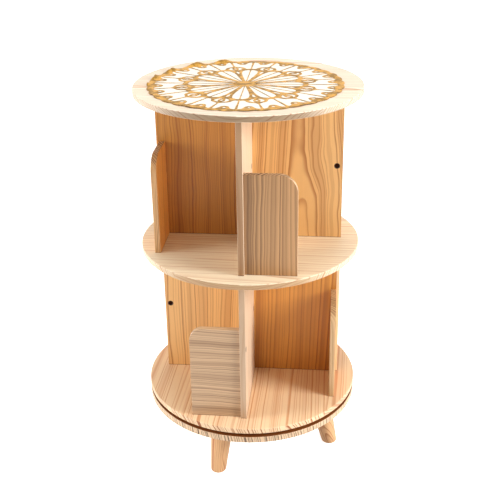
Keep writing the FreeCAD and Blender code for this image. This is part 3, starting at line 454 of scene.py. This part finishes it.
# %% Round boards
# The dark Rim of the top board and the middle shelf is painted shade on their edges
ROUND_BOARDS = {
    "top_board": (X, Y, (242, 231, 219), (200, 160, 126), {
        "Stave": 0.075, "Seed": 2.3, "Contrast": 1.0, "Side": 0.06, "Ring": 0.004, "Edge": 1.0,
        "Rim": (0.44, 0.36, 0.27, 1.0)}),
    "middle_shelf": (X, Y, (255, 245, 224), (204, 152, 104), {
        "Stave": 0.07, "Seed": 5.7, "Contrast": 0.7, "Side": 0.06, "Edge": 1.0, "Rim": (0.56, 0.42, 0.3, 1.0)}),
    "lower_board": (Y, -X, (253, 227, 194), (200, 120, 60), {
        "Stave": 0.08, "Seed": 8.1, "Contrast": 0.8, "Bands": 0.2, "Ring": 0.006, "Pith": 0.04, "Side": 0.08,
        "Late": 0.5, "Edge": 0.4, "Ticks": 0.5}),
    # The base board's top is painted dark as painted shade where the lower board covers it
    "base_board": (Y, -X, (237, 209, 179), (96, 54, 26), {
        "Stave": 0.08, "Seed": 3.9, "Contrast": 0.7, "Pith": 0.03, "Side": 0.25, "Late": 0.4, "Edge": 0.1,
        "Ticks": 0.6, "Covered": 0.229}),
}
for name, (grain, across, spring, summer, figure) in ROUND_BOARDS.items():
    dress(name, pine(name, grain, across, spring, summer, **figure))
print("round boards:", len(ROUND_BOARDS))

# %% [markdown]
# ## The dividers
# The dividers stand with their grain upright and are one stave wide. The wide ones are amber, with the heartwood
# on opposite sides in the two tiers, where it is also painted shade on the side of the closed compartment, and the
# front ones are pale. A sunk screw sits near each outer end.

# %% Dividers
AMBER, AMBER_DEEP = (236, 186, 120), (160, 90, 38)
PALE, PALE_DEEP = (237, 218, 200), (206, 166, 128)
# The front dividers' Rim darkens their edges, partly as painted shade
PALE_RIM = (0.56, 0.43, 0.31, 1.0)
SCREW_INSET = 0.012                  # from a divider's outer end in to its sunk screw
DIVIDER_TIMBER = {
    "Stave": 0.8, "Scatter": 0.0, "Wave": 0.03, "Ring": 0.0038, "Late": 0.55, "Contrast": 1.0, "Bands": 0.3,
    "Tones": 0.2,
}
DIVIDERS = {
    # The wide dividers' heartwood tint is also painted shade on the side of the closed compartment
    "upper_divider_wide": (X, AMBER, AMBER_DEEP, {
        "Seed": 11.5, "Side": 0.11, "Tilt": -0.1, "Curl": 0.007, "Wave": 0.05, "Heart_and_shade": -1.0, "Ring": 0.0058,
        "Late": 0.45, "Contrast": 0.8}),
    "upper_divider_front": (Y, PALE, PALE_DEEP, {"Seed": 21.5, "Side": 0.09, "Edge": 1.0, "Rim": PALE_RIM}),
    "upper_divider_rear": (Y, AMBER, AMBER_DEEP, {"Seed": 31.5, "Side": -0.03, "Tilt": 0.3}),
    # The lower wide divider has a pale strip along its right end
    "lower_divider_wide": (X, AMBER, AMBER_DEEP, {
        "Seed": 15.5, "Side": 0.22, "Curl": 0.004, "Wave": 0.035, "Heart_and_shade": 1.0, "Pith": 0.06, "Ring": 0.0066,
        "Late": 0.45, "Contrast": 0.8, "Pale_strip": 0.186}),
    "lower_divider_front": (Y, PALE, PALE_DEEP, {"Seed": 24.5, "Side": 0.09, "Edge": 0.4, "Rim": PALE_RIM}),
    "lower_divider_rear": (Y, AMBER, AMBER_DEEP, {"Seed": 35.5, "Side": 0.02, "Tilt": 0.3}),
}
for name, (across, spring, summer, figure) in DIVIDERS.items():
    low, high = map(Vector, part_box(name))
    bore = (high - low).dot(across) / 2 - SCREW_INSET
    dress(name, pine(name, Z, across, spring, summer, foot_shade=True, Bore=bore, **(DIVIDER_TIMBER | figure)))
print("dividers:", len(DIVIDERS), "with holes bored", round(bore, 3), "m out in the last")

# %% [markdown]
# ## The stoppers
# The stoppers come from other stock: drab on the front arm, honey at the sides, and all with paler edges, which are
# partly a painted highlight where the rounded edges catch the light. The group multiplies an edge by its Rim, so
# the Rim is the edge's colour divided by the face's.

# %% Stoppers
DRAB, DRAB_DEEP = (206, 162, 117), (92, 58, 30)
DRAB_PALE, DRAB_PALE_DEEP = (226, 194, 162), (136, 98, 68)
HONEY, HONEY_DEEP = (250, 190, 112), (190, 124, 58)
CREAM, SAND, STRAW = (244, 214, 180), (206, 168, 126), (236, 206, 166)
STOPPER_TIMBER = {
    "Stave": 0.9, "Scatter": 0.0, "Wave": 0.035, "Curl": 0.008, "Tilt": 0.15, "Pith": 0.08, "Late": 0.15,
    "Contrast": 0.85, "Bands": 0.4, "Tones": 0.35, "Edge": 0.9, "Ends": 1.0, "Ticks": 1.0,
}
STOPPERS = {
    "upper_stopper_front": (Z, X, DRAB, DRAB_DEEP, CREAM),
    "upper_stopper_rear": (Z, X, HONEY, HONEY_DEEP, CREAM),
    "upper_stopper_left": (Z, Y, HONEY, HONEY_DEEP, SAND),
    "upper_stopper_right": (Z, Y, HONEY, HONEY_DEEP, SAND),
    "lower_stopper_front": (X, Z, DRAB_PALE, DRAB_PALE_DEEP, CREAM),
    "lower_stopper_rear": (X, Z, HONEY, HONEY_DEEP, CREAM),
    "lower_stopper_left": (Z, Y, HONEY, HONEY_DEEP, STRAW),
    "lower_stopper_right": (Z, Y, HONEY, HONEY_DEEP, STRAW),
}
for k, (name, (grain, across, spring, summer, rim)) in enumerate(STOPPERS.items()):
    figure = {
        "Seed": 4.5 + 3 * k,
        "Side": 0.1 if grain == Z else 0.17,
        "Ring": 0.0052 if spring == DRAB else 0.0042,
        "Rim": tuple(edge / face for edge, face in zip(screen(*rim), screen(*spring))),
    }
    dress(name, pine(name, grain, across, spring, summer, foot_shade=True, **(STOPPER_TIMBER | figure)))
print("stoppers:", len(STOPPERS))

# %% [markdown]
# ## The legs
# The legs are turned from square stock with the pith near the middle, so their rings show as long arches. Their
# grain runs down the leg, which leans outwards, so the coordinates are turned to each leg's own axis.

# %% Legs
LEG_SPLAY = math.radians(14)
LEG_LEAD = 18                        # degrees from the right, towards the front, to the first leg
LEG_SPRING, LEG_SUMMER = (233, 190, 144), (176, 112, 62)
LEG_TIMBER = {
    "Stave": 0.2, "Pith": 0.012, "Ring": 0.0045, "Wave": 0.03, "Curl": 0.012, "Tilt": 0.8, "Tones": 0.25,
    "Contrast": 1.0,
}
for k, corner in enumerate(("right", "rear", "left", "front")):
    heading = math.radians(90 * k - LEG_LEAD)
    outward = Vector((math.cos(heading), math.sin(heading), 0))
    axis = (Z * math.cos(LEG_SPLAY) - outward * math.sin(LEG_SPLAY)).normalized()
    sideways = axis.cross(outward).normalized()
    name = f"leg_{corner}"
    dress(name, pine(name, axis, sideways, LEG_SPRING, LEG_SUMMER, Seed=1.5 * k + 6.6, **LEG_TIMBER))
    print(name, "leans outwards at", round(math.degrees(heading)), "degrees")

# %% [markdown]
# ## Metal, plastic and bare beech
# The bearing sits in the dark gap under the lower board, and the screws are sunk in the dividers, so little
# of the metal is seen. Rolled plate has a broad faint mottle from its zinc, and turned parts a finer one.


# %% Small materials
PATCHES = (0.2, 0.8)                 # the range of noise that the mottle uses
RUBBED = 0.08                        # how much smoother or rougher it is in places


def plain(name, colour, metallic, rough, mottle=0.1, size=300.0, bump=0.1):
    """A material with a mottled tone and roughness, size patches a metre."""
    material, tree, shader = new_material(name)
    patches = noise(tree, put(tree, "TexCoord").outputs["Object"], size, 3.0, 0.6)
    light = ramp(tree, patches, *PATCHES, 1.0 - mottle, 1.0 + mottle, "LINEAR")
    rubbed = ramp(tree, patches, *PATCHES, rough - RUBBED, rough + RUBBED, "LINEAR")
    wire(tree, shader, brighten(tree, screen(*colour)[:3], light), rubbed, patches, bump, 0.0002)
    shader.inputs["Metallic"].default_value = metallic
    return material


galvanised = plain("galvanised_plate", (176, 180, 182), 1.0, 0.38, 0.12, 160.0)
zinc = plain("zinc_screw", (120, 118, 112), 1.0, 0.35, 0.15, 500.0)
black = plain("black_screw", (74, 34, 10), 0.0, 0.6, 0.15, 500.0)
black.node_tree.nodes["Principled BSDF"].inputs["Specular IOR Level"].default_value = 0.1
polished = plain("steel_ball", (205, 206, 208), 1.0, 0.12, 0.03, 600.0, 0.02)
brass = plain("brass_insert", (190, 158, 95), 1.0, 0.3, 0.1, 500.0)
nylon = plain("nylon_cage", (222, 218, 205), 0.0, 0.5, 0.04, 400.0)
beech = plain("beech_dowel", (212, 176, 132), 0.0, 0.6, 0.1, 700.0)
SMALL_PIECES = {
    galvanised: ("bearing_lower_plate", "bearing_upper_plate", "bearing_retaining_ring"),
    zinc: ("bearing_base_screws", "bearing_board_screws", "lower_board_screws", "leg_hanger_bolts"),
    black: ("upper_stopper_screws", "lower_stopper_screws"),
    polished: ("bearing_balls",),
    brass: ("leg_insert_nuts",),
    nylon: ("bearing_ball_cage",),
    beech: ("top_dowels", "shelf_dowels", "upper_centre_dowels", "lower_centre_dowels", "upper_stopper_dowels",
            "lower_stopper_dowels"),
}
for material, names in SMALL_PIECES.items():
    for name in names:
        dress(name, material)
print("small pieces:", sum(map(len, SMALL_PIECES.values())), "in", len(SMALL_PIECES), "materials")

# %% [markdown]
# ## The mat on the top
# The mat is pressed vinyl: a milky film under a raised net of gold lines, limp enough that its rim has curled up
# here and there, most at the back left. The CAD pieces are flat slabs. The flat net is right in outline, but its
# face is a few long triangles that would crease if they were bent. So one fine sheet is spun about the mat's
# middle, and its rim is lifted by the transform operator with proportional editing, just as a finger would lift
# it. Two copies of the sheet are then cut, one to the net's outline by a boolean and one to the film's circle, so
# the two stay together, and each is thickened.

# %% Mat sizes
MAT_RINGS = 64
MAT_SECTORS = 288
mat_low, mat_high = map(Vector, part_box("mat_net"))
film_low, film_high = map(Vector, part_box("mat_film"))
MAT_CENTRE = (mat_low + mat_high) / 2
MAT_RADIUS = (mat_high.x - mat_low.x) / 2
SHEET_RADIUS = MAT_RADIUS * 1.02
FILM_RADIUS = (film_high.x - film_low.x) / 2
print("mat radius", round(MAT_RADIUS, 4), "film radius", round(FILM_RADIUS, 4))


# %% Mesh helpers
def only(thing):
    """Leaves one object selected and active, in object mode."""
    bpy.ops.object.select_all(action="DESELECT")
    thing.select_set(True)
    bpy.context.view_layer.objects.active = thing


def apply(thing, kind, **settings):
    """Adds a modifier with its settings and applies it."""
    only(thing)
    added = thing.modifiers.new(kind.title(), kind)
    for name, value in settings.items():
        setattr(added, name, value)
    bpy.ops.object.modifier_apply(modifier=added.name)


def choose(thing, test):
    """Enters edit mode with just those vertices selected whose place passes a test."""
    for part in (*thing.data.polygons, *thing.data.edges):
        part.select = False
    for vertex in thing.data.vertices:
        vertex.select = test(vertex.co)
    only(thing)
    bpy.ops.object.mode_set(mode="EDIT")
    bpy.ops.mesh.select_mode(type="VERT")


# %% Mat sheet
SHEET_MERGE = 0.00002                # points nearer to each other than this become one
bpy.ops.mesh.primitive_plane_add(size=SHEET_RADIUS, location=(MAT_CENTRE.x + SHEET_RADIUS / 2, MAT_CENTRE.y, 0))
sheet = bpy.context.object
only(sheet)
bpy.ops.object.transform_apply()
choose(sheet, lambda place: place.y > MAT_CENTRE.y)
bpy.ops.mesh.delete(type="VERT")
bpy.ops.mesh.select_all(action="SELECT")
bpy.ops.transform.translate(value=(0, SHEET_RADIUS / 2, 0))
bpy.ops.mesh.subdivide(number_cuts=MAT_RINGS)
bpy.ops.mesh.spin(steps=MAT_SECTORS, angle=math.tau, center=(MAT_CENTRE.x, MAT_CENTRE.y, 0), axis=(0, 0, 1))
bpy.ops.mesh.select_all(action="SELECT")
bpy.ops.mesh.remove_doubles(threshold=SHEET_MERGE)
bpy.ops.mesh.normals_make_consistent(inside=False)
bpy.ops.object.mode_set(mode="OBJECT")
print("sheet:", len(sheet.data.polygons), "faces")

# %% [markdown]
# ## The curled rim
# Each curl is a point of the rim that is pulled up, and the sheet round it follows with a soft falloff. Four
# stand out at the back left, where the real mat lifts most, and low ones elsewhere keep the rim from being flat.

# %% Rim curls
CREST = 0.003                        # how much of the rim is held by the pull
# Each curl: the angle round the mat in degrees, how far the rim is up, and how wide the lift spreads, in mm
RIM_CURLS = (
    (168, 6, 24), (149, 7, 24), (129, 8, 27), (110, 7, 25), (-176, 4, 16),
    (-150, 1.2, 30), (-118, 1.5, 34), (-84, 1.2, 30), (-52, 1.6, 36), (-20, 1.2, 30), (24, 1, 34), (72, 1.2, 36),
)
for degrees, rise, spread in RIM_CURLS:
    heading = math.radians(degrees)
    crest = MAT_CENTRE.xy + SHEET_RADIUS * Vector((math.cos(heading), math.sin(heading)))
    choose(sheet, lambda place: (place.xy - crest).length < CREST)
    bpy.ops.transform.translate(value=(0, 0, rise / 1000), use_proportional_edit=True,
                                proportional_edit_falloff="SMOOTH", proportional_size=spread / 1000)
    bpy.ops.object.mode_set(mode="OBJECT")
print("highest curl", round(max(vertex.co.z for vertex in sheet.data.vertices) * 1000, 1), "mm")


# %% Mat layers
def layer(name, low, high):
    """A copy of the sheet in the middle of a node's height, and that node's thickness."""
    copied = sheet.copy()
    copied.data = sheet.data.copy()
    copied.name = name
    bpy.context.collection.objects.link(copied)
    only(copied)
    copied.location.z = (low.z + high.z) / 2
    bpy.ops.object.transform_apply()
    return copied, high.z - low.z


# %% [markdown]
# ## The net
# The net's outline is cut out of the curled sheet by a copy of the CAD net, stretched upwards until it passes
# through every curl. Solidify then gives it its thickness, and a fine bevel takes the sharpness off its edges.

# %% Mat net
CUTTER_STRETCH = 60
CUTTER_MERGE = 0.00001
NET_BEVEL = 0.00015
NET_CORNER = math.radians(50)        # edges sharper than this are bevelled
SMOOTH_BELOW = math.radians(40)
net, net_thick = layer("gold_net_mat", mat_low, mat_high)
cutter = nodes["mat_net"].copy()
cutter.data = cutter.data.copy()
bpy.context.collection.objects.link(cutter)
only(cutter)
bpy.ops.object.parent_clear(type="CLEAR_KEEP_TRANSFORM")
bpy.ops.object.mode_set(mode="EDIT")
bpy.ops.mesh.select_all(action="SELECT")
bpy.ops.mesh.remove_doubles(threshold=CUTTER_MERGE)
bpy.ops.transform.resize(value=(1, 1, CUTTER_STRETCH), center_override=MAT_CENTRE)
bpy.ops.object.mode_set(mode="OBJECT")
apply(net, "BOOLEAN", operation="INTERSECT", object=cutter, solver="EXACT")
bpy.data.objects.remove(cutter)
print("net face:", len(net.data.polygons), "faces")
apply(net, "SOLIDIFY", thickness=net_thick, offset=0.0)
apply(net, "BEVEL", width=NET_BEVEL, segments=1, limit_method="ANGLE", angle_limit=NET_CORNER)
bpy.ops.object.shade_smooth_by_angle(angle=SMOOTH_BELOW)
print("net:", len(net.data.polygons), "faces")

# %% Mat film
film, film_thick = layer("white_film_mat", film_low, film_high)
choose(film, lambda place: (place.xy - MAT_CENTRE.xy).length > FILM_RADIUS)
bpy.ops.mesh.delete(type="VERT")
bpy.ops.object.mode_set(mode="OBJECT")
apply(film, "SOLIDIFY", thickness=film_thick, offset=0.0)
bpy.ops.object.shade_smooth_by_angle(angle=SMOOTH_BELOW)
bpy.data.objects.remove(sheet)
print("film:", len(film.data.polygons), "faces")

# %% [markdown]
# ## Gold and white vinyl
# The net is printed with a satin gold that turns olive where it is worn, and it is painted olive as painted shade
# where the rim curls up and on the thin walls of its lines. The film is milky white. The gold is only partly
# metallic: a full metal would mirror the white room and look pale from above.

# %% Mat materials
GOLD, GOLD_WORN, GOLD_CURL_SHADE = screen(210, 156, 70), screen(130, 94, 22), screen(138, 100, 24)
GOLD_WALL_SHADE = screen(96, 62, 18)       # painted shade on the thin walls of the lines
WEAR_SIZE, HAMMER_SIZE = 75.0, 900.0         # patches a metre
CURL_SHADE_FROM, CURL_SHADE_TO = 0.001, 0.006    # how far the rim is up where the painted shade on the curls starts, and where it is full
WORN_SHARE, CURL_SHADE_SHARE = 0.85, 0.75
GOLD_ROUGH = (0.34, 0.5)
GOLD_RELIEF = (0.2, 0.0003)
gold, tree, shader = new_material("gold_net")
where = put(tree, "TexCoord").outputs
worn = ramp(tree, noise(tree, where["Object"], WEAR_SIZE, 3.0, 0.6), 0.42, 0.6)
face = blend(tree, calc(tree, "MULTIPLY", worn, WORN_SHARE), GOLD, GOLD_WORN)
height = put(tree, "SeparateXYZ", {0: where["Object"]}).outputs["Z"]
# Painted shade: the curled rim turns olive with its height
curl_shade = ramp(tree, height, mat_high.z + CURL_SHADE_FROM, mat_high.z + CURL_SHADE_TO)
face = blend(tree, calc(tree, "MULTIPLY", curl_shade, CURL_SHADE_SHARE), face, GOLD_CURL_SHADE)
upward = calc(tree, "ABSOLUTE", put(tree, "SeparateXYZ", {0: where["Normal"]}).outputs["Z"])
# Painted shade: the sideways walls of the lines are dark
face = blend(tree, ramp(tree, upward, *FACE_ON), GOLD_WALL_SHADE, face)
hammered = noise(tree, where["Object"], HAMMER_SIZE)
wire(tree, shader, face, ramp(tree, hammered, 0.3, 0.7, *GOLD_ROUGH, "LINEAR"), hammered, *GOLD_RELIEF)
shader.inputs["Metallic"].default_value = 0.25
shader.inputs["Specular IOR Level"].default_value = 0.15
milky = plain("white_film", (235, 226, 211), 0.0, 0.45, 0.03, 120.0)
for thing, material, slot, node in ((net, gold, "gold_net", "mat_net"), (film, milky, "white_film", "mat_film")):
    thing.data.materials.clear()
    thing.data.materials.append(material)
    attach(thing, "carcass")
    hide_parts(node)
print("mat:", net.name, "and", film.name)

# %% [markdown]
# ## Studio
# The floor is a large pale sheet. It is lit like the object, so it keeps the soft shadow, and a little extra
# white that only the camera sees lifts it to the white of the photograph without adding light to the wood. The
# world does the same: it is white to the camera and dim to the object, which three soft square lamps light.

# %% Floor and world
FLOOR_SIZE = 40.0
FLOOR_GREY = 0.8                     # how much of the light it sends back
FLOOR_GLOW = 0.85
AMBIENT = 0.255
WHITE = (1.0, 1.0, 1.0, 1.0)


def seen_white(tree):
    """1 for the camera and for mirrors, and 0 for the light that falls on the object."""
    rays = put(tree, "LightPath").outputs
    return calc(tree, "MAXIMUM", rays["Is Camera Ray"], rays["Is Glossy Ray"])


bpy.ops.mesh.primitive_plane_add(size=FLOOR_SIZE)
floor = bpy.context.object
floor.name = "floor"
material, tree, shader = new_material("floor_white")
shader.inputs["Base Color"].default_value = (FLOOR_GREY, FLOOR_GREY, FLOOR_GREY, 1.0)
shader.inputs["Roughness"].default_value = 0.9
glow = put(tree, "Emission", {"Color": WHITE, "Strength": calc(tree, "MULTIPLY", seen_white(tree), FLOOR_GLOW)})
both = put(tree, "AddShader", {0: shader.outputs[0], 1: glow.outputs[0]})
tree.links.new(both.outputs[0], tree.nodes["Material Output"].inputs["Surface"])
floor.data.materials.append(material)

world = bpy.data.worlds.new("studio")
world.use_nodes = True
bpy.context.scene.world = world
tree = world.node_tree
sky = tree.nodes["Background"]
sky.inputs["Color"].default_value = WHITE
tree.links.new(ramp(tree, seen_white(tree), 0.0, 1.0, AMBIENT, 1.0, "LINEAR"), sky.inputs["Strength"])
print("floor", FLOOR_SIZE, "m wide, ambient light", AMBIENT)

# %% Lamps
LAMP_SIZE = 1.2
LAMPS = {                            # where each stands, the point that it faces, and its watts
    "right_light": ((2.5, -0.8, 1.4), (0, 0, 0.45), 91),
    "left_light": ((-2.5, -0.7, 1.1), (0, 0, 0.4), 62),
    "top_light": ((0.0, -0.1, 3.0), (0, 0, 0.4), 45),
}
for name, (stand, aim, power) in LAMPS.items():
    bpy.ops.object.light_add(type="AREA", location=stand)
    lamp = bpy.context.object
    lamp.name = name
    lamp.data.size = LAMP_SIZE
    lamp.data.energy = power
    lamp.rotation_euler = (Vector(aim) - Vector(stand)).to_track_quat("-Z", "Y").to_euler()
    print(name, power, "W")
bpy.context.scene.view_settings.view_transform = "Standard"
